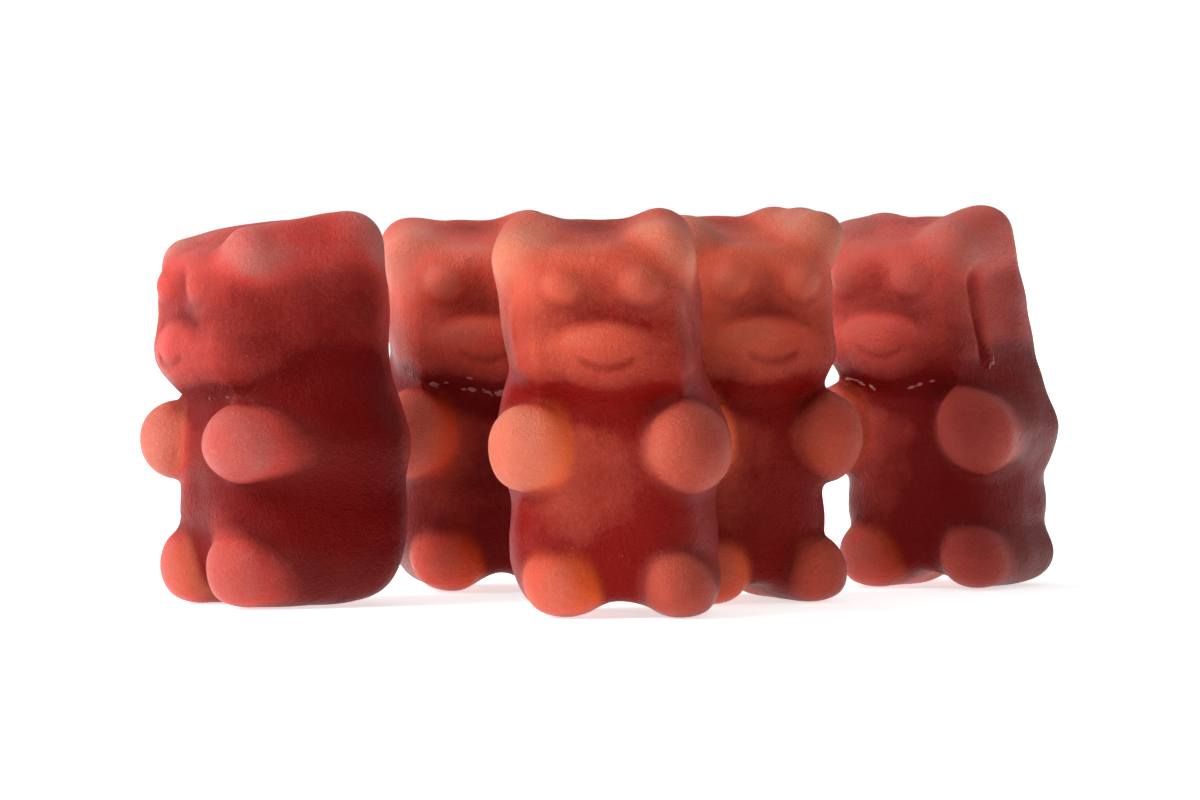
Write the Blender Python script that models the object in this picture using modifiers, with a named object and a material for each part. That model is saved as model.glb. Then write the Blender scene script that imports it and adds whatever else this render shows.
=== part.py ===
"""Five gummy bears that stand in a loose group on a table, each one solid piece of jelly.

All five come out of one mould: blocks with round edges for body, neck and head, round bars for ears, arms
and legs, and small domes for muzzle and eyes, melted into one skin. The back is flat, as in a moulded sweet,
and the soles are flat spots. Each bear is then a copy of that skin that leans, slumps and stands its own way.

Run with: blender --background --python part.py
World: metres, +Z up, the front bear looks along -Y, origin at the middle of the group on the table.
"""
import math

import bmesh
import bpy
from mathutils import Matrix, Vector

MM = 0.001

# --- One bear, in millimetres: x across, y from the flat back (0) to the face (minus), z up from the soles

HEAD_TOP = 20.7
WAIST_WIDTH = 10.1
HIP_WIDTH = 10.5
SHOULDER_WIDTH = 11.5
NECK_WIDTH = 9.2
HEAD_WIDTH = 10.3
FACE_WIDTH = 9.1
CHEST_Y = -9.85
HIP_Y = -9.4
SHOULDER_Y = -8.7
NECK_Y = -9.0
FACE_Y = -10.1
SKULL_Y = -8.7
BELLY_TOP_Z = 12.9
HIP_Z = (0.2, 7.2)
SHOULDER_Z = (5.9, 13.6)
NECK_Z = (8.5, 16.5)
SKULL_BOTTOM_Z = 11.7
CHIN_Z = 11.9
BROW_Z = 19.4
BACK_REACH = 0.3

ARM_X, ARM_BACK_X, ARM_Z, ARM_TIP_Y, ARM_RADIUS = 3.85, 3.65, 8.7, -11.0, 2.05
LEG_X, LEG_Z, LEG_TIP_Y, LEG_RADIUS = 2.95, 1.65, -10.5, 1.9
EAR_X, EAR_FRONT_Z, EAR_BACK_Z, EAR_TIP_Y, EAR_RADIUS = 3.55, 18.2, 19.1, -9.1, 1.55
BAR_BACK_Y = -2.5
BAR_FLARE = 0.3
EAR_FLARE = 0.2

MUZZLE_WIDTH, MUZZLE_HEIGHT, MUZZLE_Z, MUZZLE_Y, MUZZLE_BACK_Y = 6.5, 3.5, 13.75, -10.85, -6.1
EYE_X, EYE_Z, EYE_Y, EYE_RADIUS = 1.83, 17.05, -10.3, 0.95

ARCH_WIDTH, ARCH_HEIGHT = 3.6, 1.15
FOREHEAD_SLOPE_DEG = 19.0
FOREHEAD_START_Y = -3.6
HEEL_CUT = 1.6
HEAD_SHIFT = -0.6
FEET_SHIFT = 0.6
TOP_LEAN = 1.75
LEAN_CURVE = 1.6

# --- Where a slump acts: sideways in the head from HEAD_FROM_Z up, in the feet below FEET_BELOW_Z, and outwards
# in the arms, within ARM_BAND of their middle height and over ARM_FADE in front of ARM_FROM_Y

HEAD_FROM_Z, HEAD_RISE, HEAD_RISE_MOST = 9.0, 8.0, 1.3
FEET_BELOW_Z = 6.0
ARM_BAND, ARM_FROM_X, ARM_FROM_Y, ARM_FADE = 2.6, 1.5, -8.5, 2.0

VOXEL = 0.42
SMOOTH_ROUNDS = 5
TRIANGLES_PER_BEAR = 1840
REACH = 60.0

# --- The five bears: place on the table, turn of the face to the left (minus: to the right), and own shape.
# size: whole size against the mould. deeper: front to back. narrow: side to side. head, feet: sideways slump,
# on top of the mould's own. arms: longer reach. lean: further forward at the top. twist_deg: how much further
# the head turns than the body.

BEARS = {
    "bear_front": dict(at=(0.45, 5.5), turn_deg=2, size=1.01, head=-0.15, feet=0.2, colour=(0.45, 0.085, 0.06)),
    "bear_left_side": dict(
        at=(-16.5, 14.8), turn_deg=62, deeper=1.08, arms=0.2, lean=-0.8, colour=(0.30, 0.03, 0.028)),
    "bear_left_back": dict(at=(-6.2, 29.4), turn_deg=-4, feet=0.3, colour=(0.32, 0.045, 0.045)),
    "bear_right_front": dict(
        at=(6.4, 18.3), turn_deg=-26, twist_deg=4, size=1.015, head=0.9, colour=(0.40, 0.07, 0.05)),
    "bear_right_back": dict(
        at=(19.0, 33.2), turn_deg=26, twist_deg=5, size=1.012, narrow=0.92, head=-0.5, feet=0.2,
        colour=(0.27, 0.05, 0.045)),
}
OWN_SHAPE = dict(size=1.0, deeper=1.0, narrow=1.0, head=0.0, feet=0.0, arms=0.0, lean=0.0, twist_deg=0.0)
JELLY_ROUGHNESS = 0.42


def clear_scene():
    for obj in list(bpy.data.objects):
        bpy.data.objects.remove(obj)


def new_collection(name):
    collection = bpy.data.collections.new(name)
    bpy.context.scene.collection.children.link(collection)
    return collection


def add_block(shape, low, high, outline=2.5, depth=3.4):
    """A block with round edges: a sphere whose points are pushed out along their rays.

    outline squares the block seen from the front, depth squares its front and back edges; 2 is an ellipsoid.
    """
    centre = [(a + b) / 2 for a, b in zip(low, high)]
    half = [(b - a) / 2 for a, b in zip(low, high)]
    points = bmesh.ops.create_uvsphere(shape, u_segments=32, v_segments=20, radius=1.0)["verts"]
    for vert in points:
        x, y, z = (abs(c) for c in vert.co)
        rim = (x ** outline + z ** outline) ** (1 / outline)
        reach = (rim ** depth + y ** depth) ** (1 / depth)
        vert.co = [m + h * c / reach for m, h, c in zip(centre, half, vert.co)]
    return points


def slope_forehead(points):
    """Presses the top down to a plane that falls towards the face, so that the ears stand proud of it."""
    for vert in points:
        in_front = max(FOREHEAD_START_Y - vert.co.y, 0)
        vert.co.z = min(vert.co.z, HEAD_TOP - in_front * math.tan(math.radians(FOREHEAD_SLOPE_DEG)))


def add_bar(shape, front, back, front_radius, back_radius):
    """A bar with round ends: a ball at each end and a cone between them."""
    front, back = Vector(front), Vector(back)
    along = back - front
    for end, radius in ((front, front_radius), (back, back_radius)):
        bmesh.ops.create_uvsphere(
            shape, u_segments=24, v_segments=14, radius=radius, matrix=Matrix.Translation(end))
    place = Matrix.Translation((front + back) / 2) @ along.to_track_quat("Z", "Y").to_matrix().to_4x4()
    bmesh.ops.create_cone(
        shape, cap_ends=True, segments=24, radius1=front_radius, radius2=back_radius,
        depth=along.length, matrix=place)


def add_trunk(shape):
    """Belly, hips, shoulders, neck, skull and the face plate in front of it."""
    waist, hip = WAIST_WIDTH / 2, HIP_WIDTH / 2
    neck, head, face = NECK_WIDTH / 2, HEAD_WIDTH / 2, FACE_WIDTH / 2
    shoulder = SHOULDER_WIDTH / 2
    add_block(shape, (-waist, CHEST_Y, -0.1), (waist, BACK_REACH, BELLY_TOP_Z))
    add_block(shape, (-hip, HIP_Y, HIP_Z[0]), (hip, BACK_REACH, HIP_Z[1]), 2.6)
    add_block(shape, (-shoulder, SHOULDER_Y, SHOULDER_Z[0]), (shoulder, BACK_REACH, SHOULDER_Z[1]), 2.1, 2.6)
    add_block(shape, (-neck, NECK_Y, NECK_Z[0]), (neck, BACK_REACH, NECK_Z[1]), 2.8)
    slope_forehead(add_block(shape, (-head, SKULL_Y, SKULL_BOTTOM_Z), (head, BACK_REACH, HEAD_TOP), 2.8, 3.2))
    slope_forehead(add_block(shape, (-face, FACE_Y, CHIN_Z), (face, BACK_REACH, BROW_Z), 2.15, 3.2))


def add_limbs(shape):
    """Ears, arms and legs: round bars that run from the back to a ball in front, a pair of each."""
    for side in (-1, 1):
        add_bar(
            shape, (side * EAR_X, EAR_TIP_Y + EAR_RADIUS, EAR_FRONT_Z), (side * EAR_X, BAR_BACK_Y, EAR_BACK_Z),
            EAR_RADIUS, EAR_RADIUS + EAR_FLARE)
        add_bar(
            shape, (side * ARM_X, ARM_TIP_Y + ARM_RADIUS, ARM_Z), (side * ARM_BACK_X, BAR_BACK_Y, ARM_Z),
            ARM_RADIUS, ARM_RADIUS + BAR_FLARE)
        add_bar(
            shape, (side * LEG_X, LEG_TIP_Y + LEG_RADIUS, LEG_Z), (side * LEG_X, BAR_BACK_Y, LEG_Z + BAR_FLARE),
            LEG_RADIUS, LEG_RADIUS + BAR_FLARE)


def add_features(shape):
    """The muzzle and the two eyes, shallow domes on the face."""
    half = MUZZLE_WIDTH / 2
    low, high = MUZZLE_Z - MUZZLE_HEIGHT / 2, MUZZLE_Z + MUZZLE_HEIGHT / 2
    add_block(shape, (-half, MUZZLE_Y, low), (half, MUZZLE_BACK_Y, high), 2.1, 2.1)
    for side in (-1, 1):
        bmesh.ops.create_uvsphere(
            shape, u_segments=20, v_segments=12, radius=EYE_RADIUS,
            matrix=Matrix.Translation((side * EYE_X, EYE_Y + EYE_RADIUS, EYE_Z)))


def mesh_object(name, shape, collection):
    mesh = bpy.data.meshes.new(name)
    shape.to_mesh(mesh)
    shape.free()
    obj = bpy.data.objects.new(name, mesh)
    collection.objects.link(obj)
    return obj


def hidden_cutter(name, shape, collection):
    cutter = mesh_object(name, shape, collection)
    cutter.hide_render = True
    cutter.display_type = "WIRE"
    return cutter


def slab_cutter(name, point, outward, collection):
    """A large cube whose near face lies at the point and looks inward: what is beyond that face goes away."""
    outward = Vector(outward).normalized()
    turn = outward.to_track_quat("Z", "Y").to_matrix().to_4x4()
    place = Matrix.Translation(Vector(point) + outward * REACH / 2) @ turn
    shape = bmesh.new()
    bmesh.ops.create_cube(shape, size=REACH, matrix=place)
    return hidden_cutter(name, shape, collection)


def arch_cutter(collection):
    """A half-sunk round bar that leaves the low arch between the feet, from front to back."""
    shape = bmesh.new()
    turn = Matrix.Rotation(math.radians(90), 4, "X")
    bmesh.ops.create_cone(shape, cap_ends=True, segments=48, radius1=1.0, radius2=1.0, depth=REACH, matrix=turn)
    for vert in shape.verts:
        vert.co.x *= ARCH_WIDTH / 2
        vert.co.z = vert.co.z * ARCH_HEIGHT * 2 - ARCH_HEIGHT
    return hidden_cutter("arch_cutter", shape, collection)


def cut_away(obj, cutter):
    cut = obj.modifiers.new(cutter.name, "BOOLEAN")
    cut.operation = "DIFFERENCE"
    cut.object = cutter


def melt_together(obj, name):
    """One closed skin round everything that overlaps, on a grid of small cubes."""
    skin = obj.modifiers.new(name, "REMESH")
    skin.mode = "VOXEL"
    skin.voxel_size = VOXEL


def as_mesh(obj):
    """The object's mesh with its modifiers worked out, as a mesh of its own."""
    graph = bpy.context.evaluated_depsgraph_get()
    return bpy.data.meshes.new_from_object(obj.evaluated_get(graph))


def mould(parts, cutters):
    """The shape all bears share, in millimetres and upright, as a mesh of triangles with flat soles."""
    shape = bmesh.new()
    add_trunk(shape)
    add_limbs(shape)
    add_features(shape)
    bear = mesh_object("mould", shape, parts)
    melt_together(bear, "melt")
    cut_away(bear, slab_cutter("back_cutter", (0, 0, HEAD_TOP / 2), (0, 1, 0), cutters))
    cut_away(bear, slab_cutter("heel_cutter", (0, 0, HEEL_CUT), (0, 1, -1), cutters))
    cut_away(bear, arch_cutter(cutters))
    melt_together(bear, "melt_again")
    soft = bear.modifiers.new("soften", "SMOOTH")
    soft.factor = 0.5
    soft.iterations = SMOOTH_ROUNDS
    fine = as_mesh(bear)
    fine.calc_loop_triangles()
    fewer = bear.modifiers.new("fewer_faces", "DECIMATE")
    fewer.ratio = TRIANGLES_PER_BEAR / len(fine.loop_triangles)
    bpy.data.meshes.remove(fine)
    cut_away(bear, slab_cutter("floor_cutter", (0, 0, 0), (0, 0, -1), cutters))
    result = as_mesh(bear)
    bpy.data.objects.remove(bear)
    return result


def slump(point, own):
    """Where a point of the mould lies in one bear: it leans forward, and head, feet and arms shift a little."""
    x, y, z = point
    above_arms = min(max((z - HEAD_FROM_Z) / HEAD_RISE, 0), HEAD_RISE_MOST)
    below_belly = min(max(1 - z / FEET_BELOW_Z, 0), 1)
    on_arm = abs(z - ARM_Z) < ARM_BAND and abs(x) > ARM_FROM_X
    in_front = min(max((ARM_FROM_Y - y) / ARM_FADE, 0), 1) if on_arm else 0
    x *= own["narrow"] + (1 - own["narrow"]) * min(above_arms, 1)
    x += (HEAD_SHIFT + own["head"]) * above_arms + (FEET_SHIFT + own["feet"]) * below_belly
    y -= own["arms"] * in_front + (TOP_LEAN + own["lean"]) * (max(z, 0) / HEAD_TOP) ** LEAN_CURVE
    y = (y - CHEST_Y / 2) * own["deeper"]
    turn = Matrix.Rotation(math.radians(-own["twist_deg"] * min(above_arms, 1)), 3, "Z")
    return turn @ Vector((x, y, z)) * own["size"] * MM


def jelly(name, colour):
    material = bpy.data.materials.new(name)
    material.use_nodes = True
    shader = material.node_tree.nodes["Principled BSDF"]
    shader.inputs["Base Color"].default_value = (*colour, 1.0)
    shader.inputs["Roughness"].default_value = JELLY_ROUGHNESS
    shader.inputs["Metallic"].default_value = 0.0
    return material


def stand_bear(name, template, own, parts):
    own = {**OWN_SHAPE, **own}
    mesh = template.copy()
    mesh.name = name
    for vert in mesh.vertices:
        vert.co = slump(vert.co, own)
    mesh.materials.clear()
    mesh.materials.append(jelly(f"{name}_jelly", own["colour"]))
    mesh.shade_smooth()
    bear = bpy.data.objects.new(name, mesh)
    bear.location = (own["at"][0] * MM, own["at"][1] * MM, 0.0)
    bear.rotation_euler.z = -math.radians(own["turn_deg"])
    parts.objects.link(bear)
    return bear


def centre_group(bears):
    """Moves all bears together, so that the middle of the group's outline is at the origin."""
    bpy.context.view_layer.update()
    points = [bear.matrix_world @ vert.co for bear in bears for vert in bear.data.vertices]
    for axis in (0, 1):
        reach = [point[axis] for point in points]
        middle = (min(reach) + max(reach)) / 2
        for bear in bears:
            bear.location[axis] -= middle


def main():
    clear_scene()
    parts = new_collection("gummy_bears")
    cutters = new_collection("cutters")
    template = mould(parts, cutters)
    bears = [stand_bear(name, template, own, parts) for name, own in BEARS.items()]
    bpy.data.meshes.remove(template)
    centre_group(bears)


main()
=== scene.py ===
# %% [markdown]
# # Five gummy bears
#
# Five red jelly bears stand in a loose group on a white table. They all come out of one mould: a stout body, a
# head with two ears, two arms and two legs that are round bars, a broad muzzle and two small eyes. The back is
# flat, because jelly is poured into the mould from that side. After that each bear goes its own way. It dries,
# leans, slumps and picks up creases, so no two are quite alike.
#
# The fixed model from the earlier step says where each bear stands. Here each one gets its real skin, and its
# jelly, which is see-through enough to glow where it is thin and to go dark where it is thick.

# %% Load the fixed model
import math
from concurrent.futures import ThreadPoolExecutor

import bpy
import numpy as np
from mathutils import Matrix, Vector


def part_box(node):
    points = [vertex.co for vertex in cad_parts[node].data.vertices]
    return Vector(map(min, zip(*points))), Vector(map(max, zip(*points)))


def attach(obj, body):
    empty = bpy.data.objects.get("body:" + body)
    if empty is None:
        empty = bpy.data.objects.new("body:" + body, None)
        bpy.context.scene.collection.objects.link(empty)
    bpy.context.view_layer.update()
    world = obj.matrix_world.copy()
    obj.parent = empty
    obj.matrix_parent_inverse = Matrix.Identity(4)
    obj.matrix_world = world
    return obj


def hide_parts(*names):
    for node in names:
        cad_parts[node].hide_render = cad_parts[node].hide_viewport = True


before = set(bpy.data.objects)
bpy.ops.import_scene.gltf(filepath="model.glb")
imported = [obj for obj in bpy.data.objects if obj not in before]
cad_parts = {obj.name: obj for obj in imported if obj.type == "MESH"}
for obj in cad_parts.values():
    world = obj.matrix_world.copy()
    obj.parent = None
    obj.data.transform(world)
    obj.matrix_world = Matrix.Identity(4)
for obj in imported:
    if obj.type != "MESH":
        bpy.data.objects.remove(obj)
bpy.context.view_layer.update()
MM = 0.001

# %% [markdown]
# ## Soft shapes from distances
#
# A moulded sweet has no hard edge anywhere. A good way to describe such a thing is a distance: a formula that
# says, for any point, how far it is outside the skin, with minus inside. Two distances join with a soft crease,
# or cut each other with a soft edge, and the width of that crease is one number. All sizes below are in
# millimetres, for a bear that faces the reader: x across, y from the flat back at 0 towards the face at -10,
# z up from the soles.

# %% Joining and cutting two distances softly
def soft_join(a, b, crease):
    """The smaller of two distances, and near where they are equal a little less, over a width of crease."""
    share = np.clip(0.5 + 0.5 * (b - a) / crease, 0, 1)
    return b + (a - b) * share - crease * share * (1 - share)


def soft_cut(a, b, edge):
    """The larger of two distances, which keeps only what is inside both, with an edge rounded by edge."""
    return -soft_join(-a, -b, edge)


# %% Three basic bodies
def egg(points, centre, radii):
    """Distance to an egg: the length of the point counted in radii, less one, turned back into millimetres."""
    scaled = (points - centre) / radii
    length = np.sqrt((scaled ** 2).sum(1)) + 1e-9
    slope = np.sqrt(((scaled / radii) ** 2).sum(1)) + 1e-9
    return length * (length - 1) / slope


def bar(points, front, back, front_radius, back_radius):
    """Distance to a bar with round ends: how far the point is from the line, less a radius that changes along it."""
    front, back = np.array(front, float), np.array(back, float)
    line = back - front
    along = np.clip((points - front) @ line / (line @ line), 0, 1)
    radius = front_radius + (back_radius - front_radius) * along
    return np.linalg.norm(points - front - along[:, None] * line, axis=1) - radius


def pillow(points, centre, half, outline, depth):
    """Distance to a block with round edges. Seen from the front, x and z are raised to the power outline and
    added; the front and back edges do the same with the power depth. A power of 2 gives an egg, more a box."""
    offset = points - np.array(centre, float)
    x, y, z = (np.abs(offset) / np.array(half, float)).T
    rim = (x ** outline + z ** outline) ** (1 / outline)
    size = (rim ** depth + y ** depth) ** (1 / depth) + 1e-9
    return np.sqrt((offset ** 2).sum(1)) * (1 - 1 / size)


def moved(points, x=0.0, z=0.0):
    """The same points seen from a body that is moved by x and z."""
    return points - np.array([1.0, 0, 0]) * np.reshape(x, (-1, 1)) - np.array([0, 0, 1.0]) * np.reshape(z, (-1, 1))


def ramp(value, low, high):
    """0 below low, 1 above high, and a straight line between."""
    return np.clip((value - low) / (high - low), 0, 1)


# %% [markdown]
# ## The mould of a bear
#
# The bear is built up as a modeller would with clay: belly and hips first, then shoulders, neck and skull, a
# face plate in front of the skull, and bars for ears, arms and legs. Muzzle and eyes are low domes on the face.
# The neck is deep in front and almost filled at the back, because the mould's walls slope outwards for the bear
# to come out. `OWN` lists what may differ from bear to bear, with the usual value for each.

# %% What may differ from bear to bear
OWN = dict(
    lean=1.75, head_x=0.0, feet_x=0.0, muzzle_x=0.0, narrow=1.0, head_wide=1.0, belly=0.0,
    ear_left=0.0, ear_right=0.0, arm_x=3.95, arm_tall=1.08, arm_reach=0.0, arm_square=0.0,
    arm_right=1.0, foot_x=2.9, foot_reach=0.0, foot_tall=1.0, jaw=0.6, back=0.0, head_back=0.0, ear_front=0.0,
    fold=0.0, ear_reach=0.0, ear_back=0.0, painted_shade_right=0.0, full_sides=0.35, head_thin=0.08, chest_sheen=0.0,
    glow_left=0.0, dim_right=0.0, eye_out=0.0,
)
HEAD_X, FEET_X, EAR_TILT = -0.6, 0.6, 0.15


def in_mould(points, own):
    """Undoes the lean, the sideways slump and the swell of the back, so that all bodies can be written upright."""
    x, y, z = points.T
    straight_x = x - (HEAD_X + own["head_x"]) * np.clip((z - 9) / 8, 0, 1.3)
    swell = own["back"] * np.exp(-((z - 7) / 6.5) ** 2) + own["head_back"] * ramp(z, 12, 17)
    straight_y = y + own["lean"] * (np.clip(z, 0, None) / 21) ** 1.6 - swell * ramp(y, -7, 0)
    return np.stack([straight_x, straight_y, z], 1)


def mirrored(points):
    """Both halves folded onto one, so that a limb is written once and appears on both sides."""
    return np.abs(points * [1, 0, 0]) + points * [0, 1, 1]


# %% Belly, shoulders and neck
def trunk(points, own):
    """Belly, hips and shoulders joined with wide creases, and a neck that is narrower in front. The walls slope
    outwards to the back by the mould's draft."""
    n, b = own["narrow"], own["belly"]
    draft = 1 / (1 + 0.014 * np.clip(points[:, 1] + 5, -5, 5))
    sloped = points * np.stack([draft, np.ones_like(draft), np.ones_like(draft)], 1)
    belly = pillow(sloped, (0, -4.8 - b / 2, 6.4), (5.0 * n, 5.05 + b / 2, 6.5), 2.5, 3.3)
    hips = pillow(sloped, (0, -4.6, 3.7), (5.15 * n, 4.8, 3.6), 2.6, 3.1)
    shoulder = egg(mirrored(points), (2.95 * n, -4.0, 9.5), (2.95, 4.2, 3.9))
    body = soft_join(soft_join(belly, hips, 1.0), shoulder, 1.2)
    pinch = 1 - 0.09 * ramp(points[:, 1], -8.5, -2.5)
    neck = pillow(points * np.stack([pinch, np.ones_like(pinch), np.ones_like(pinch)], 1),
                  (0, -4.4, 12.5), (4.5, 4.55, 4.0), 2.8, 3.4)
    return soft_join(body, neck, 1.0)


# %% Skull, face plate and forehead
def head(points, own):
    """A broad skull whose lower edge rises towards the back, a face plate that is square at the brow and round
    at the chin, and a forehead that falls towards the face, with a shallow dip between the ears."""
    x, y, z = points.T
    w = own["head_wide"]
    rise = 0.3 * np.maximum(y + 7, 0) * ramp(-z, -16.5, -12.5)
    skull = pillow(moved(points, z=rise), (0, -4.0, 16.0), (5.15 * w, 4.45, 4.7), 2.7, 3.0)
    high = 4.4 + own["jaw"] / 2
    outline = np.where(z > 19.8 - high, 2.7, 1.95)
    plate = pillow(points, (0, -5.2, 19.8 - high), (4.7 * w, 4.87, high), outline, 3.8)
    both = soft_join(skull, plate, 0.7)
    slope = (z - 20.7) * math.cos(0.25) - (y + 3.6) * math.sin(0.25)
    dip = egg(points, (0, -8.6, 20.9), (2.3, 4.6, 1.3))
    return soft_cut(soft_cut(both, slope, 1.3), -dip, 1.2)


def ears(points, own):
    """A round ridge from the back of the head to the brow on each side. One ear is a little higher."""
    lift = np.where(points[:, 0] > 0, own["ear_right"] + EAR_TILT, own["ear_left"] - EAR_TILT)
    folded = moved(mirrored(points), z=lift)
    folded = folded + np.where(points[:, :1] < 0, own["ear_reach"], 0) * [0, 1, 0] * ramp(-points[:, 1:2], 3, 7)
    w = own["head_wide"]
    return bar(folded, (3.6 * w, -7.2, 18.45 + own["ear_front"]), (3.3 * w, -2.7 + own["ear_back"], 19.2), 1.5, 1.65)


# %% Arms and legs
def arms(points, own):
    """A round bar along each side with a ball in front, stretched a little in height about its own middle. The
    left one may be squared off on its inner side, where it was pressed, and the right one may be fuller."""
    middle = 8.85
    folded = mirrored(points)
    folded = folded * [1, 1, 1 / own["arm_tall"]] + [0, 0, middle - middle / own["arm_tall"]]
    tip = (own["arm_x"], -8.95 - own["arm_reach"], middle)
    arm = bar(folded, tip, (3.6, -2.6, middle + 0.1), 2.08, 2.1)
    square = pillow(folded, (own["arm_x"], -8.9, middle), (2.08, 2.2, 2.05), 3.0, 2.3)
    pressed = own["arm_square"] * (points[:, 0] < 0)
    fuller = 2.08 * (own["arm_right"] - 1) * (points[:, 0] > 0)
    return arm + pressed * (soft_join(arm, square, 0.3) - arm) - fuller


def feet_line(points, own):
    """The points seen from the feet, which slump sideways a little more than the body."""
    shift = (FEET_X + own["feet_x"]) * (1 - ramp(points[:, 2], 0, 6))
    return moved(points, x=shift)


def legs(points, own):
    """A round bar on each side that ends in the ball of a foot."""
    folded = mirrored(feet_line(points, own)) * [1, 1, 1 / own["foot_tall"]]
    foot = (own["foot_x"], -8.65 - own["foot_reach"], 1.95)
    return bar(folded, foot, (2.85, -2.6, 2.15), 1.97, 2.1)


# %% Muzzle, eyes and smile
def face(body, points, own):
    """Adds a lens-shaped muzzle with a clear upper edge, presses a wide shallow hollow above it, sets the eyes
    over that hollow and presses the smile as a soft groove that curls up at its ends."""
    seen = moved(points, x=own["muzzle_x"])
    folded = mirrored(seen)
    band, between = egg(seen, (0, -11.3, 16.1), (3.1, 1.36, 1.2)), egg(seen, (0, -11.3, 17.3), (1.0, 1.38, 1.5))
    hollow = soft_join(band, between, 0.8)
    body = soft_cut(body, -hollow, 0.9)
    x, _, z = seen.T
    muzzle = pillow(seen, (0, -8.4, 13.5), (3.9, 2.45, 2.1), 2.1, 2.6)
    body = soft_join(body, muzzle, 0.3 + 0.8 * ramp(-z, -14.4, -13) + 1.3 * ramp(np.abs(x), 2.2, 3.6))
    eye = egg(folded, (1.95, -9.33 - own["eye_out"], 17.0), (1.05, 1.0, 1.0))
    body = soft_join(body, eye, 0.35)
    line = np.hypot(z - 12.95 - 0.22 * x ** 2, np.maximum(np.abs(x) - 1.2, 0))
    return body + 0.11 * np.exp(-(line / 0.26) ** 2)


def side_fold(body, points, own):
    """Presses a fold down the right side of the head, beside the face, where the jelly was bent."""
    x, y, z = points.T
    across = (y + 7.3 - 0.12 * (z - 15)) / 0.4
    along = ramp(x, 2.6, 3.6) * ramp(z, 12.2, 13.0) * (1 - ramp(z, 17.2, 18.0))
    return body + own["fold"] * along * np.exp(-across ** 2)


# %% The whole bear
def lump(upright, own):
    """Trunk, head, ears, arms and legs joined softly, without a face or soles."""
    body = soft_join(trunk(upright, own), head(upright, own), 0.8)
    body = soft_join(body, ears(upright, own), 1.0)
    body = soft_join(body, arms(upright, own), 0.6)
    return soft_join(body, legs(upright, own), 0.55)


def bear_distance(points, own):
    """The lump with its face, less the low arch between the feet, the rounded heel and the flat of the table."""
    upright = in_mould(points, own)
    body = side_fold(face(lump(upright, own), upright, own), upright, own)
    arch = egg(mirrored(feet_line(upright, own)), (0, -4.5, -1.0), (1.95, 30.0, 2.15))
    body = soft_cut(body, -arch, 0.7)
    y, z = upright[:, 1], upright[:, 2]
    body = soft_cut(body, soft_cut(y, -z, 4.6), 1.2)
    return soft_cut(body, -z, 0.3)


middle = np.array([[0.0, -5, 8], [0, -20, 8]])
print("inside the belly and in front of it:", bear_distance(middle, OWN).round(2), "mm")

# %% [markdown]
# ## A grid wrapped on the bear
#
# A distance has no surface of its own, so a cube is shrunk onto it. Each of the cube's six sides is a square grid
# with two parameters, u and v. Every grid point slides down the distance to the skin, and then the grid is
# evened out: each point moves to the middle of its neighbours, but only along the skin. Doing this on a coarse
# grid first and then on finer ones is quick, and the result is all four-sided faces of nearly the same size,
# with no pole and no seam. That matters here, because creases and grain will be pressed into it.

# %% The cube's six grids, with shared edges
def cube_grids(count):
    """Points of a cube from -1 to 1, each kept once, and for each side the number of the point at every (u, v)."""
    along = np.linspace(-1, 1, count + 1)
    u, v = np.meshgrid(along, along, indexing="ij")
    one = np.ones_like(u)
    sides = np.stack([
        np.stack(side, -1) for side in (
            (one, u, v), (-one, -u, v), (-u, one, v), (u, -one, v), (-v, u, one), (v, u, -one))])
    flat = sides.reshape(-1, 3)
    _, first, number = np.unique(np.round(flat * 4096), axis=0, return_index=True, return_inverse=True)
    return flat[first], number.reshape(6, count + 1, count + 1)


def faces_of(number):
    """Four corners for each square of the six grids, turned so that the face looks outwards."""
    corners = (number[:, :-1, :-1], number[:, 1:, :-1], number[:, 1:, 1:], number[:, :-1, 1:])
    return np.stack(corners, -1).reshape(-1, 4)


def neighbours_of(faces):
    """Every edge once, as a pair of point numbers."""
    pairs = np.concatenate([faces[:, [i, (i + 1) % 4]] for i in range(4)])
    return np.unique(np.sort(pairs, axis=1), axis=0)


# %% Sliding points to the skin and evening them out
PROBES = np.array([[1, -1, -1], [-1, -1, 1], [-1, 1, -1], [1, 1, 1]], float)


def unit(vectors):
    """Vectors of length one."""
    return vectors / np.maximum(np.linalg.norm(vectors, axis=1), 1e-9)[:, None]


def probed(points, own, step=0.02):
    """The way straight back to the skin, and the direction outwards, from four probes round each point. The mean
    of the probes is the distance, and each probe's direction weighted by what it reads adds up to the slope."""
    read = [bear_distance(points + step * probe, own)[:, None] for probe in PROBES]
    slope = sum(probe * value for probe, value in zip(PROBES, read)) / (4 * step)
    return sum(read) / 4 * slope / np.maximum((slope ** 2).sum(1), 0.2)[:, None], unit(slope)


def to_skin(points, own, rounds, longest=0.6):
    """Moves each point back to the skin, never more than longest in any direction at a time."""
    for _ in range(rounds):
        back, _ = probed(points, own)
        points = points - np.clip(back, -longest, longest)
    return points


def evened(points, pairs, own, rounds):
    """Moves each point 0.8 of the way to the middle of its neighbours, less the part of that across the skin."""
    a, b = pairs.T
    total = len(points)
    count = np.bincount(pairs.ravel(), minlength=total)[:, None]
    for _ in range(rounds):
        near = [np.bincount(a, points[b, i], total) + np.bincount(b, points[a, i], total) for i in range(3)]
        move = np.stack(near, 1) / count - points
        back, outward = probed(points, own)
        move -= (move * outward).sum(1)[:, None] * outward
        points = points + 0.8 * move - back
    return to_skin(points, own, 2)


# %% From a soft box to the bear, in a few levels
FIRST_GRID = 15
ROUNDS = (60, 20, 8, 3)
LEVELS = 4


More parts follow.
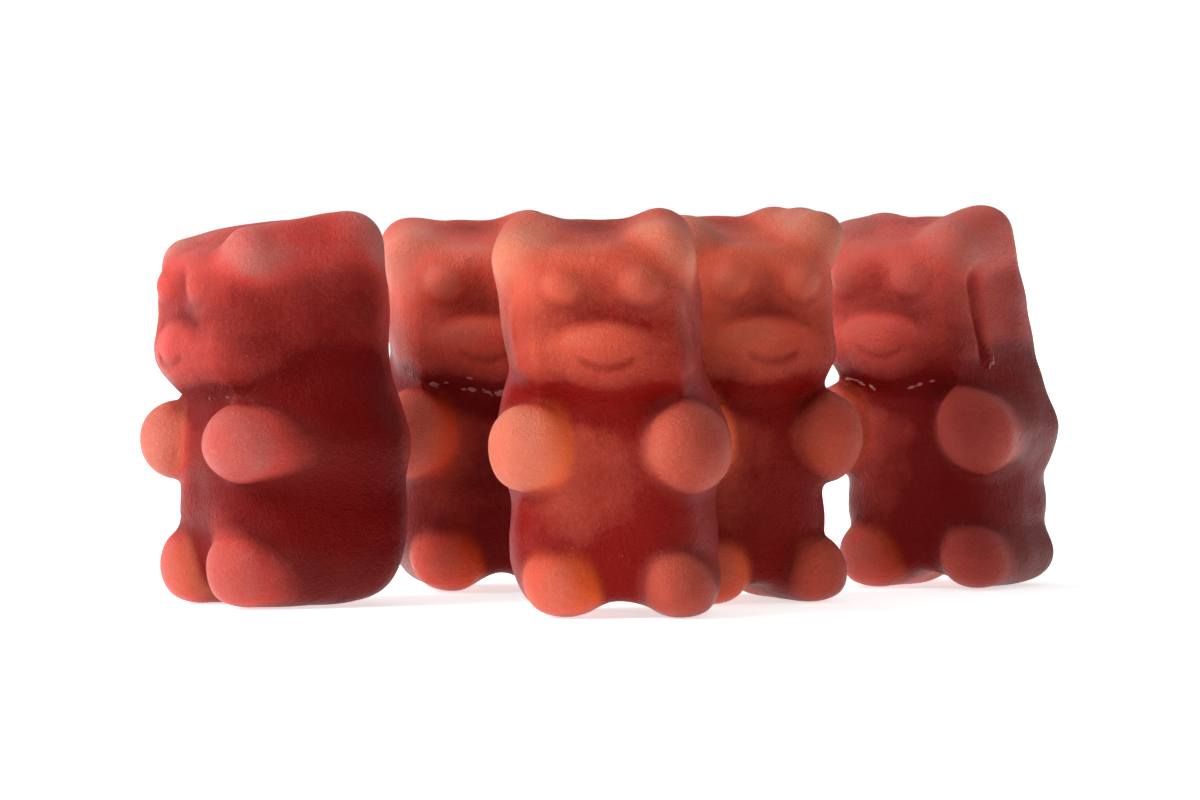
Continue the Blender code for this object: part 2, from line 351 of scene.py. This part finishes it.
def halved(points, number):
    """A grid with a new row and column halfway between the old ones."""
    coarse = points[number]
    count = (number.shape[1] - 1) * 2
    fine = np.zeros((6, count + 1, count + 1, 3))
    fine[:, ::2, ::2] = coarse
    fine[:, 1::2, ::2] = (coarse[:, 1:] + coarse[:, :-1]) / 2
    fine[:, :, 1::2] = (fine[:, :, 2::2] + fine[:, :, :-2:2]) / 2
    cube, finer = cube_grids(count)
    out = np.zeros((len(cube), 3))
    out[finer.ravel()] = fine.reshape(-1, 3)
    return out, finer


def wrapped_bear(own):
    """Shrinks a box with round edges onto the bear, then halves, evens and settles the grid level by level."""
    cube, number = cube_grids(FIRST_GRID)
    spread = np.tan(cube * math.pi / 4)
    box = spread / (np.abs(spread) ** 4).sum(1)[:, None] ** 0.25
    points = to_skin(np.array([0, -5.6, 10.4]) + box * [5.0, 4.6, 9.6], own, 30, 0.3)
    for level in range(LEVELS):
        if level:
            points, number = halved(points, number)
            points = to_skin(points, own, 1)
        faces = faces_of(number)
        points = evened(points, neighbours_of(faces), own, ROUNDS[level])
    return points, faces


# %% [markdown]
# ## Lumps, creases and dried skin
#
# Jelly dries from the outside. The skin shrinks, so it is never quite smooth: low lumps a few millimetres
# apart, and fine creases where the shape is hollow, round the eyes, under the chin and beside the feet. Both
# come from one building block, a sum of many plane waves in random directions. Where that sum is near zero, it
# draws thin winding lines, which make natural creases.

# %% Random relief from plane waves
def waves(points, length, seed, stretch=(1, 1, 1), count=28):
    """The sum of many sine waves of about the given length, each in a random direction and from a random start."""
    chance = np.random.default_rng(seed)
    direction = unit(chance.normal(size=(count, 3))) * stretch
    pace = 2 * math.pi / (length * chance.uniform(0.7, 1.4, count))
    start = chance.uniform(0, 2 * math.pi, count)
    return np.sin(points @ (direction * pace[:, None]).T + start).sum(1) * math.sqrt(2 / count)


def creases(points, length, width, seed, stretch=(1, 1, 1)):
    """Minus one on thin lines where the waves cross zero, and zero away from them."""
    return -np.exp(-(waves(points, length, seed, stretch) / width) ** 2)


def patch(points, centre, radii, edge=0.35):
    """1 inside an egg, 0 outside, with a soft border."""
    return 1 - ramp(egg(points, centre, radii), -edge, edge)


# %% The relief of one bear's skin
def skin_relief(points, own, seed):
    """How far the skin moves outwards: lumps everywhere, creases on the face, in the folds and on the feet."""
    upright = in_mould(points, own)
    x, y, z = upright.T
    lumps = 0.045 * waves(points, 5.5, seed) + 0.02 * waves(points, 2.4, seed + 1)
    low = ramp(waves(points, 4.0, seed + 2), -0.4, 0.8)
    on_face = patch(upright, (0, -10, 16.6), (4.4, 3.0, 2.6), 0.8)
    in_neck = patch(upright, (0, -7, 11.9), (6.5, 5.0, 1.5), 0.8)
    on_feet = patch(upright, (0, -9, 3.2), (6.5, 3.5, 3.0), 0.8)
    fold = (0.4 + 0.6 * low) * np.maximum(np.maximum(0.55 * on_face, 0.9 * in_neck), 0.6 * on_feet)
    fine = 0.022 * creases(points, 1.5, 0.16, seed + 3, (1.3, 1, 0.7))
    shallow = 0.008 * creases(points, 1.1, 0.2, seed + 4)
    return (lumps + fold * fine + (0.35 + low) * shallow) * ramp(z, 0.0, 0.8)


# %% [markdown]
# ## How thick the jelly is
# Light goes through a thin arm or ear and comes out orange, while it is lost in the thick belly, which looks
# almost black red. So each point of the skin is told how much jelly lies behind it. From the skin, the path goes
# straight in; at a few depths the distance says how far the nearest skin is. Deep inside the belly it is as far
# as the path went, inside an arm it is less. The same value also carries painted shade in hollows, under the
# chin, between the feet and eyes and on the right side, and painted highlight and sheen on muzzle, chest and back
# rims.

# %% Jelly behind each point of the skin
DEPTHS = (1.6, 2.8, 4.2, 5.8)
AIR = (0.8, 1.8)
SOLE_DARK = 3.2


def lump_reading(points, own):
    """Distance to the lump, taken to run on downwards below SOLE_DARK, where hardly any light comes up."""
    upright = in_mould(points, own)
    upright[:, 2] = np.maximum(upright[:, 2], SOLE_DARK)
    return lump(upright, own)


def thickness(points, own):
    """The mean, over a few depths, of the distance to the nearest skin as a share of that depth. Hollows count
    as thicker: a little way out in the air, the nearest skin is closer there than the way that was gone, so this
    adds painted shade in the hollows. The sides are darker towards the back. Painted shade is added under the
    chin, where the head shades the neck, between the feet, between the eyes and on the right side away from the
    lamp. The head counts as thinner; painted light makes lighter the back rims, where backlight comes through, the
    upper left of the muzzle (a painted highlight) and the chest (painted sheen), and the top of the forehead is
    lighter."""
    outward = unit(sum(probe * lump_reading(points + 0.5 * probe, own)[:, None] for probe in PROBES))
    here = lump_reading(points, own)
    behind = [np.clip((0.6 * here - lump_reading(points - way * outward, own)) / way, -0.4, 1) for way in DEPTHS]
    # Painted shade in the hollows: where the skin a little way out in the air is close, the value goes up.
    hollow = [1 - np.clip((lump_reading(points + way * outward, own) - here) / way, 0, 1) for way in AIR]
    upright = in_mould(points, own)
    x, y, z = upright.T
    above_chin = z - 0.11 * np.minimum(x ** 2, 9) * ramp(-y, 7, 9)
    in_head = ramp(above_chin, 12.0, 14.2)
    sides = own["full_sides"] * (1 - 0.6 * in_head) * ramp(y, -9.5, -3.5)
    # Painted shade on the right side below the head, away from the lamp, as far as each bear asks.
    fuller = sides + own["painted_shade_right"] * ramp(x, 0, 4) * (1 - in_head) - own["head_thin"] * in_head
    # Painted shade on the neck under the chin, where the head shades it, and between the eyes. Painted highlight on
    # the upper left of the muzzle and painted sheen on the chest; the top of the forehead is made lighter.
    neck = patch(np.stack([x, y, above_chin], 1), (0, -9.5, 10.9), (2.8, 3.0, 0.8), 0.6)
    shade_between_eyes = patch(moved(upright, x=own["muzzle_x"]), (0, -10, 17.0), (0.6, 2.0, 1.0), 0.5)
    chest_sheen_patch = patch(upright, (-0.3, -10, 7.0), (2.4, 2.0, 2.6), 0.8)
    muzzle_highlight = patch(moved(upright, x=own["muzzle_x"]), (-1.4, -10.5, 14.4), (1.9, 1.5, 0.8), 0.6)
    brow = patch(upright, (0, -8.0, 20.0), (1.6, 3.0, 1.2), 0.8)
    # Painted glow of the backlight on the rims of the flat back, and painted shade in the crotch between the feet.
    corner = ramp(y, -1.7, -0.3) * ramp(np.abs(x), 2.6, 4.4)
    crotch_shade = patch(feet_line(upright, own), (0, -9, 1.6), (1.0, 3.0, 2.6), 0.8)
    # The first sum is painted shade; the second is painted glow, highlight and sheen, with a lighter forehead top.
    painted_shade = 0.4 * neck + 0.45 * crotch_shade + 0.22 * shade_between_eyes
    lighter_patches = 0.45 * corner + 0.28 * muzzle_highlight + 0.2 * brow + own["chest_sheen"] * chest_sheen_patch
    return sum(behind) / len(DEPTHS) + 0.32 * sum(hollow) / len(AIR) + fuller + painted_shade - lighter_patches


def rims(points, own):
    """Two columns. The first is a painted glow, 1 on the inner sides of the left arm and foot, where the lamp's light
    comes out again after its way through the limb, and on the whole left arm as far as a bear asks; the second is
    painted shade on the right arm, leg and eye, away from the lamp. Borders are soft."""
    upright = in_mould(points, own)
    feet = feet_line(upright, own)
    on_arm = 1 - ramp(np.abs(arms(upright, own)), 0.05, 0.3)
    on_leg = 1 - ramp(np.abs(legs(upright, own)), 0.05, 0.3)
    beside_arm = ramp(upright[:, 0] + own["arm_x"], 0.2, 1.6)
    beside_leg = ramp(feet[:, 0] + own["foot_x"], 0.0, 1.5)
    left, front = ramp(-upright[:, 0], 0, 0.4), ramp(-upright[:, 1], 8, 9.2)
    through = np.maximum(on_arm * beside_arm, on_leg * beside_leg) * front
    on_eye = patch(upright, (2.2, -10, 16.9), (1.1, 1.5, 1.1), 0.5)
    # Painted shade on the right arm, leg and eye, away from the lamp.
    dim = own["dim_right"] * np.maximum(np.maximum(on_arm, on_leg), on_eye) * ramp(upright[:, 0], 0, 1)
    return np.stack([np.maximum(through, own["glow_left"] * on_arm) * left, dim], 1)


# %% Softening over the skin, and small hollows
def blurred(values, faces, rounds):
    """Values on the skin, one or more per point, each replaced by the mean of its neighbours several times."""
    a, b = neighbours_of(faces).T
    total = len(values)
    count = np.bincount(a, minlength=total) + np.bincount(b, minlength=total)
    columns = []
    for column in np.reshape(values, (total, -1)).T:
        for _ in range(rounds):
            column = (np.bincount(a, column[b], total) + np.bincount(b, column[a], total)) / count
        columns.append(column)
    return np.reshape(np.stack(columns, 1), np.shape(values))


def hollowness(points, outward, faces, rounds):
    """How many millimetres a point lies below the mean of the skin round it; minus on a bump."""
    return ((blurred(points, faces, rounds) - points) * outward).sum(1)


# %% [markdown]
# ## Standing each bear in its place
#
# A bear made in the mould is turned, sometimes twisted at the neck, and moved so that the middle of its own box
# lies at the middle of the box of its body in the fixed model. `BEARS` holds what makes each one itself: the
# turn of its face, its size, and the values of `OWN` that differ.

# %% The five bears
BEARS = {
    "bear_front": dict(turn=2, size=1.01, seed=11, nudge=0.18, own=dict(
        head_x=-0.1, feet_x=0.1, muzzle_x=0.3, arm_x=3.95, arm_square=0.5, arm_tall=1.04, arm_right=1.09, jaw=0.8,
        painted_shade_right=0.3, head_thin=0.04, chest_sheen=0.1, dim_right=0.3)),
    "bear_left_side": dict(turn=62, size=1.0, deeper=1.04, seed=23, nudge=0.25, own=dict(
        lean=1.0, arm_reach=-0.05, foot_tall=1.12, belly=-0.2, ear_left=-0.2, arm_tall=1.0, back=0.75,
        head_back=0.5, painted_shade_right=0.1, full_sides=0.25, head_thin=0.04, ear_reach=0.3, ear_back=0.8,
        glow_left=0.7, dim_right=0.15, eye_out=-0.15)),
    "bear_left_back": dict(turn=-4, size=1.0, seed=37, own=dict(feet_x=0.3, arm_tall=1.15, head_thin=0.15)),
    "bear_right_front": dict(turn=-26, twist=4, size=1.015, seed=41, own=dict(
        head_x=0.7, arm_x=3.85, arm_tall=1.15, ear_front=0.6, painted_shade_right=0.3, full_sides=0.2, head_thin=0.12, dim_right=0.15)),
    "bear_right_back": dict(turn=26, twist=5, size=1.012, seed=59, nudge=0.3, own=dict(
        head_x=-0.25, feet_x=0.2, narrow=0.92, head_wide=0.96, arm_tall=1.15, back=0.3, fold=0.3,
        painted_shade_right=0.35, full_sides=0.1, head_thin=0.1, dim_right=0.22)),
}


def turned(vectors, degrees):
    """Vectors turned about the upright axis, each by its own angle."""
    angle = np.radians(np.broadcast_to(degrees, len(vectors)))
    x, y, z = vectors.T
    return np.stack([x * np.cos(angle) - y * np.sin(angle), x * np.sin(angle) + y * np.cos(angle), z], 1)


def standing(points, bear):
    """Mould millimetres turned into the bear's own stand: stretched and sized, the head twisted, all turned."""
    placed = (points - [0, -5.3, 0]) * bear["size"] * [1, bear.get("deeper", 1.0), 1]
    return turned(placed, -bear["turn"] - bear.get("twist", 0) * ramp(points[:, 2], 8, 15))


# %% Making a mesh piece
def mesh_piece(name, points, faces, numbers=None):
    """A piece from points in metres and faces of three or four corners, with a value per point under each name."""
    mesh = bpy.data.meshes.new(name)
    mesh.from_pydata(points, [], faces)
    mesh.shade_smooth()
    for label, values in (numbers or {}).items():
        mesh.attributes.new(label, "FLOAT", "POINT").data.foreach_set("value", np.asarray(values, np.float32))
    piece = bpy.data.objects.new(name, mesh)
    bpy.context.scene.collection.objects.link(piece)
    return piece


# %% Wrap, crease and stand all five
def formed(node):
    """The skin of one bear in metres, in place, with what the later steps need to know about it."""
    bear = BEARS[node]
    own = {**OWN, **bear["own"]}
    skin, faces = wrapped_bear(own)
    _, outward = probed(skin, own)
    creased = skin + skin_relief(skin, own, bear["seed"])[:, None] * outward
    small, wide = hollowness(creased, outward, faces, BLUR // 3), hollowness(skin, outward, faces, BLUR)
    # Painted shade in creases and hollows and painted light on bumps, added to the core value.
    relief = np.clip(small, -0.08, 0.08) + 0.7 * np.clip(wide, -0.1, 0.14)
    core = blurred(thickness(skin, own), faces, BLUR) + relief
    glow, dim = blurred(rims(skin, own), faces, BLUR // 5).T
    placed = standing(creased, bear) * MM
    low, high = boxes[node]
    shift = (low + high) / 2 - (placed.min(0) + placed.max(0)) / 2 + [bear.get("nudge", 0) * MM, 0, 0]
    shift[2] = -placed[:, 2].min()
    return dict(skin=creased, placed=placed + shift, outward=outward, own=own, shift=shift, faces=faces,
                core=core, glow=glow, dim=dim)


BLUR = 56
boxes = {node: [np.array(corner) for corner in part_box(node)] for node in BEARS}
with ThreadPoolExecutor(4) as workers:
    made = dict(zip(BEARS, workers.map(formed, BEARS)))
for node, bear in made.items():
    numbers = {label: bear[label] for label in ("core", "glow", "dim")}
    bear["piece"] = mesh_piece(f"{node}_skin", bear["placed"], bear["faces"], numbers)
    reach = bear["placed"].max(0) - bear["placed"].min(0)
    print(node, 2 * len(bear["faces"]), "triangles", (reach / MM).round(1), "mm, core", np.percentile(
        bear["core"], (1, 25, 50, 75, 99)).round(2))

# %% [markdown]
# ## Dry flakes and specks
#
# Sugar that dried in the folds of the neck comes off in pale curled flakes, and a few crumbs stick to the skin.
# A flake is a round dome on a two-parameter grid, pressed flat, stretched along the fold and roughened by waves.
# `FLAKES` gives, for each bear, the paths along which they lie, how many there are, and how long they are.

# %% Where the flakes lie, in the mould's millimetres
FLAKES = {
    "bear_left_back": [
        (((-4.0, -8.6, 12.9), (-2.6, -9.6, 12.1)), 7, 0.24), (((-1.6, -9.8, 12.0), (0.8, -10.0, 11.3)), 9, 0.24),
        (((-3.2, -9.0, 13.3), (-1.0, -10.0, 12.4)), 5, 0.16)],
    "bear_right_back": [
        (((-2.9, -9.2, 12.2), (-1.1, -10.0, 11.6)), 7, 0.24), (((0.8, -10.0, 11.6), (1.6, -10.0, 12.0)), 4, 0.22),
        (((4.2, -7.8, 12.4), (4.4, -7.5, 13.0)), 3, 0.18)],
    "bear_left_side": [
        (((1.4, -10.0, 11.3), (3.6, -9.2, 11.1)), 6, 0.11),
        (((-2.0, -10.2, 16.5), (3.8, -8.6, 13.4)), 4, 0.06), (((2.0, -10.0, 6.5), (4.6, -6.0, 15.0)), 5, 0.06)],
    "bear_front": [(((-2.6, -10.2, 3.9), (3.4, -10.4, 3.2)), 5, 0.05)],
    "bear_right_front": [(((-3.4, -10.6, 3.0), (-2.2, -10.6, 3.4)), 3, 0.08)],
}


# %% A flake, and all flakes of one bear
def flake_grid(rows=6, columns=10):
    """A unit ball in (u, v), u from pole to pole and v round; rows of points, and faces with closed poles."""
    u = np.linspace(0, math.pi, rows + 1)[1:-1, None]
    v = np.linspace(0, 2 * math.pi, columns, endpoint=False)[None, :]
    ring = np.stack([np.sin(u) * np.cos(v), np.sin(u) * np.sin(v), np.cos(u) * np.ones_like(v)], -1).reshape(-1, 3)
    number = np.arange((rows - 1) * columns).reshape(rows - 1, columns)
    after = np.roll(number, -1, axis=1)
    sides = np.stack([number[:-1], number[1:], after[1:], after[:-1]], -1).reshape(-1, 4)
    top, bottom = len(ring), len(ring) + 1
    caps = [(top, a, b) for a, b in zip(number[0], after[0])] + [
        (bottom, b, a) for a, b in zip(number[-1], after[-1])]
    return np.vstack([ring, [[0, 0, 1], [0, 0, -1]]]), [tuple(face) for face in sides.tolist()] + caps


def flakes_on(bear, paths, chance):
    """Puts each flake on the skin point nearest to a random place of its path, and lays it along the path."""
    ball, ball_faces = flake_grid()
    points, faces = [], []
    for path, count, length in paths:
        path = np.array(path, float)
        for share in chance.uniform(0, len(path) - 1, count):
            start = min(int(share), len(path) - 2)
            along = path[start + 1] - path[start]
            target = path[start] + along * (share - start) + chance.normal(0, 0.16, 3)
            nearest = int(((bear["skin"] - target) ** 2).sum(1).argmin())
            up = bear["outward"][nearest]
            along = along + chance.normal(0, 0.5, 3) * np.linalg.norm(along)
            along = unit((along - up * (along @ up))[None])[0]
            frame_of = np.stack([along, np.cross(up, along), up])
            size = length * chance.uniform(0.5, 1.2) * np.array([1.0, chance.uniform(0.3, 0.6), 0.22])
            rough = ball * (1 + 0.22 * waves(ball, 1.4, int(chance.integers(1e6)))[:, None])
            curl = rough * size + [0, 0, 0.25 * length] * (rough[:, :1] ** 2) * chance.uniform(0, 0.7)
            faces += [tuple(corner + len(ball) * len(points) for corner in face) for face in ball_faces]
            points.append(bear["skin"][nearest] + curl @ frame_of)
    return np.vstack(points), faces


# %% Lay the flakes
for node, paths in FLAKES.items():
    bear = made[node]
    flakes, flake_faces = flakes_on(bear, paths, np.random.default_rng(BEARS[node]["seed"]))
    bear["flakes"] = mesh_piece(f"{node}_flakes", standing(flakes, BEARS[node]) * MM + bear["shift"], flake_faces)
    print(node, "has", len(flake_faces) // 60, "flakes")

# %% [markdown]
# ## Finishes as expressions
#
# A finish is a small network of nodes. Written out node by node it is hard to read, so one class wraps a socket
# and turns + and * into Math nodes, and one method makes any other node.

# %% A socket that can be added and multiplied
class Link:
    """One output of a node. Arithmetic on it adds Math nodes to the same finish."""

    def __init__(self, finish, socket):
        self.finish, self.socket = finish, socket

    def math(self, operation, first, second):
        return self.finish.node("ShaderNodeMath", dict(operation=operation), {0: first, 1: second})

    def __add__(self, other):
        return self.math("ADD", self, other)

    def __sub__(self, other):
        return self.math("SUBTRACT", self, other)

    def __rsub__(self, other):
        return self.math("SUBTRACT", other, self)

    def __mul__(self, other):
        return self.math("MULTIPLY", self, other)

    def positive(self):
        return self.math("MAXIMUM", self, 0.0)

    __radd__, __rmul__ = __add__, __mul__


# %% A finish and its nodes
class Finish:
    """A material, or the world, with its shader, and the methods that add nodes to it."""

    def __init__(self, holder, shader="Principled BSDF"):
        holder.use_nodes = True
        self.holder, self.tree = holder, holder.node_tree
        self.shader = self.tree.nodes[shader]

    def feed(self, socket, value):
        """Links a Link, or sets a plain value."""
        if isinstance(value, Link):
            self.tree.links.new(value.socket, socket)
        else:
            socket.default_value = value

    def node(self, kind, settings, sockets, out=0):
        """Adds a node, sets its settings first, then its sockets by name or number, and returns one output."""
        made_node = self.tree.nodes.new(kind)
        for key, value in settings.items():
            if key == "stops":
                self.set_stops(made_node.color_ramp, value)
            else:
                setattr(made_node, key, value)
        for key, value in sockets.items():
            self.feed(made_node.inputs[key], value)
        return Link(self, made_node.outputs[out])

    def set_stops(self, color_ramp, stops):
        """Gives a ramp its stops, each a place from 0 to 1 and a colour."""
        while len(color_ramp.elements) < len(stops):
            color_ramp.elements.new(0.5)
        for element, (place, colour) in zip(color_ramp.elements, stops):
            element.position = place
            element.color = (*colour, 1.0)

    def noise(self, scale, detail=2.0, rough=0.5, seed=0.0):
        """Noise on Object coordinates, scale in cells per metre; seed moves to another part of the same noise."""
        place = self.node("ShaderNodeTexCoord", {}, {}, "Object")
        where = self.node("ShaderNodeVectorMath", dict(operation="ADD"), {0: place, 1: (seed, seed * 0.7, -seed)})
        return self.node("ShaderNodeTexNoise", {}, {
            "Vector": where, "Scale": scale, "Detail": detail, "Roughness": rough}, "Fac")

    def ramp(self, value, stops):
        """A colour that goes through the stops as the value goes from 0 to 1."""
        return self.node("ShaderNodeValToRGB", dict(stops=stops), {"Fac": value}, "Color")

    def mix(self, share, first, second):
        """From the first colour to the second as share goes from 0 to 1."""
        settings = dict(data_type="RGBA", clamp_factor=True)
        return self.node("ShaderNodeMix", settings, {0: share, 6: first, 7: second}, 2)

    def bump(self, height, distance, strength=1.0, under=None):
        """Relief from a height, distance in metres, over the relief that another bump node made."""
        sockets = {"Height": height, "Distance": distance, "Strength": strength}
        return self.node("ShaderNodeBump", {}, sockets | ({"Normal": under} if under else {}), "Normal")

    def finish(self, **sockets):
        """Feeds the shader's own sockets; an underscore in a name stands for a space."""
        for key, value in sockets.items():
            self.feed(self.shader.inputs[key.replace("_", " ")], value)
        return self.holder


# %% [markdown]
# ## The jelly
#
# The jelly is a clear red gel, clouded a little by fruit and starch. Its colour follows the thickness: dark
# wine red in the belly, brick red in between, salmon and orange in arms, feet, ears and chin. Light that enters
# is scattered a few millimetres on, red furthest. The outside is not glossy but dull, as if breathed on, and its
# fine grain is the print of the starch that the mould was pressed into. In patches the dull bloom is thicker
# and pinker; that pink is partly the dry bloom and partly painted sheen and sparkle, weaker where the jelly is thick.

# %% The jelly finish
def jelly(name, deep, middle_red, thin, rim, bloom_and_sheen, seed):
    """Colour from the core value through three reds, a painted orange glow where light comes through, painted shade
    on the dim parts, a pinkish bloom in patches that is partly dry bloom and partly painted sheen and sparkle, and
    three sizes of grain."""
    f = Finish(bpy.data.materials.new(name))
    core = f.node("ShaderNodeAttribute", dict(attribute_name="core"), {}, "Fac")
    glow = f.node("ShaderNodeAttribute", dict(attribute_name="glow"), {}, "Fac")
    cloud = f.noise(420, 3, 0.6, seed)
    haze = f.noise(260, 4, 0.65, seed + 1)
    grain = f.noise(8000, 2, 0.6, seed)
    pores = f.noise(2600, 3, 0.6, seed + 3)
    dimples = f.noise(900, 3, 0.5, seed + 4)
    red = f.ramp(core + (cloud - 0.5) * 0.15 + (pores - 0.5) * 0.12, [(0.2, thin), (0.6, middle_red), (1.0, deep)])
    # Painted glow: orange where the lamp's light comes out of the left limbs.
    red = f.mix(glow * 0.75, red, (*rim, 1.0))
    # Painted shade: the dim parts go towards a dark red.
    red = f.mix(f.node("ShaderNodeAttribute", dict(attribute_name="dim"), {}, "Fac"), red, (0.16, 0.05, 0.04, 1.0))
    # The pink mix is partly a real dry bloom and partly painted sheen: pinkish patches and grain speckles, weaker
    # where the jelly is thick.
    dust_and_sparkle = ((grain - 0.5) * 3.0).positive() * (haze - 0.15)
    share = ((haze - 0.5).positive() * 0.6 + dust_and_sparkle) * (1.15 - core) * bloom_and_sheen
    colour = f.mix(share, red, (0.74, 0.38, 0.34, 1.0))
    relief = f.bump(grain, 0.00012, 0.9)
    relief = f.bump(pores, 0.00018, 0.5, relief)
    relief = f.bump(dimples, 0.0003, 0.3, relief)
    return f.finish(
        Base_Color=colour, Roughness=0.25 + haze * 0.12 + grain * 0.06, Normal=relief, IOR=1.42,
        Specular_IOR_Level=0.16, Specular_Tint=(1.0, 0.55, 0.47, 1.0),
        Subsurface_Weight=0.7, Subsurface_Radius=(1.0, 0.32, 0.2), Subsurface_Scale=0.0008)


# %% Five batches of jelly
JELLIES = {
    "bear_front": dict(
        deep=(0.19, 0.003, 0.002), middle_red=(0.49, 0.074, 0.039), thin=(0.56, 0.20, 0.125),
        rim=(0.76, 0.11, 0.02), bloom_and_sheen=0.65),
    "bear_left_side": dict(
        deep=(0.14, 0.002, 0.002), middle_red=(0.50, 0.052, 0.040), thin=(0.47, 0.18, 0.155),
        rim=(0.50, 0.11, 0.055), bloom_and_sheen=0.65),
    "bear_left_back": dict(
        deep=(0.14, 0.002, 0.002), middle_red=(0.55, 0.065, 0.038), thin=(0.58, 0.17, 0.12),
        rim=(0.72, 0.07, 0.01), bloom_and_sheen=0.5),
    "bear_right_front": dict(
        deep=(0.165, 0.002, 0.001), middle_red=(0.50, 0.072, 0.036), thin=(0.43, 0.125, 0.08),
        rim=(0.70, 0.10, 0.03), bloom_and_sheen=0.45),
    "bear_right_back": dict(
        deep=(0.135, 0.001, 0.001), middle_red=(0.46, 0.060, 0.042), thin=(0.37, 0.10, 0.078),
        rim=(0.42, 0.045, 0.012), bloom_and_sheen=0.5),
}
for order, (node, colours) in enumerate(JELLIES.items()):
    piece = made[node]["piece"]
    piece.data.materials.append(jelly(f"{node}_jelly", seed=3.7 * order, **colours))
    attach(piece, "root")
    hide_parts(node)
print("finished", len(JELLIES), "bears")

# %% Pale dry sugar
def dry_sugar(name):
    """A pale pinkish crust, dull, with a fine grain."""
    f = Finish(bpy.data.materials.new(name))
    grain = f.noise(6000, 2, 0.6)
    colour = f.mix(grain, (0.22, 0.04, 0.035, 1.0), (0.44, 0.16, 0.14, 1.0))
    return f.finish(Base_Color=colour, Roughness=0.55 + grain * 0.2, Normal=f.bump(grain, 0.00008, 0.6))


sugar = dry_sugar("dry_sugar")
for node in FLAKES:
    made[node]["flakes"].data.materials.append(sugar)
    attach(made[node]["flakes"], "root")
print("laid flakes on", len(FLAKES), "bears")

# %% [markdown]
# ## Table, light and camera
#
# The bears stand on a white table that runs on into a white room, under one large soft lamp from the upper left.

# %% The table
def table_top(half, height):
    """A flat square grid that covers plus and minus half in u and v."""
    along = np.linspace(-half, half, 9)
    u, v = np.meshgrid(along, along, indexing="ij")
    points = np.stack([u, v, np.full_like(u, height)], -1).reshape(-1, 3)
    number = np.arange(81).reshape(9, 9)
    corners = (number[:-1, :-1], number[1:, :-1], number[1:, 1:], number[:-1, 1:])
    return points, np.stack(corners, -1).reshape(-1, 4)


table = mesh_piece("table_top", *table_top(4.0, 0.0))
white = Finish(bpy.data.materials.new("white_table"))
speckle = white.noise(900, 2, 0.5)
table.data.materials.append(white.finish(
    Base_Color=white.mix(speckle, (0.90, 0.90, 0.90, 1.0), (0.93, 0.93, 0.93, 1.0)), Roughness=0.8,
    Emission_Color=(1.0, 1.0, 1.0, 1.0), Emission_Strength=0.65))

# %% The lamp
def soft_sun(name, towards, strength, spread):
    """A sun as large in the sky as a soft box close by: towards points at it, spread is its width in degrees."""
    light = bpy.data.lights.new(name, "SUN")
    light.energy, light.angle = strength, math.radians(spread)
    lit = bpy.data.objects.new(name, light)
    x, y, z = towards
    lit.rotation_euler = (math.acos(z / math.hypot(x, y, z)), 0, math.atan2(y, x) + math.pi / 2)
    bpy.context.scene.collection.objects.link(lit)


soft_sun("soft_box_left", (-0.77, -0.38, 0.52), 3.3, 32)

# %% The room
room = Finish(bpy.data.worlds.new("white_room"), "Background")
direction = room.node("ShaderNodeTexCoord", {}, {}, "Generated")
behind = room.node("ShaderNodeSeparateXYZ", {}, {0: direction}, "Y")
above = room.node("ShaderNodeSeparateXYZ", {}, {0: direction}, "Z")
right = room.node("ShaderNodeSeparateXYZ", {}, {0: direction}, "X")
glow = behind.positive() * 0.18 + (0.0 - behind).positive() * 0.16 + above.positive() * 0.4
glow = glow + (0.0 - right).positive() * 0.66 + right.positive() * 0.28 + 0.03
seen = room.node("ShaderNodeLightPath", {}, {}, "Is Camera Ray")
bpy.context.scene.world = room.finish(Color=(1.0, 1.0, 1.0, 1.0), Strength=glow + seen * (1.05 - glow))
bpy.context.scene.view_settings.view_transform = "Standard"
print("one soft lamp and a white room")

# %% Camera
camera_data = bpy.data.cameras.new("camera")
camera_data.lens = 207
camera_data.sensor_width = 36
camera_data.clip_start = 0.01
camera = bpy.data.objects.new("camera", camera_data)
camera.location = (-0.00023, -0.36875, 0.0211)
camera.rotation_euler = (math.radians(90 - 1.62), 0, 0)
bpy.context.scene.collection.objects.link(camera)
bpy.context.scene.camera = camera
print("camera looks down by 1.62 degrees from", tuple(camera.location))

# %% The last line
bpy.context.view_layer.update()
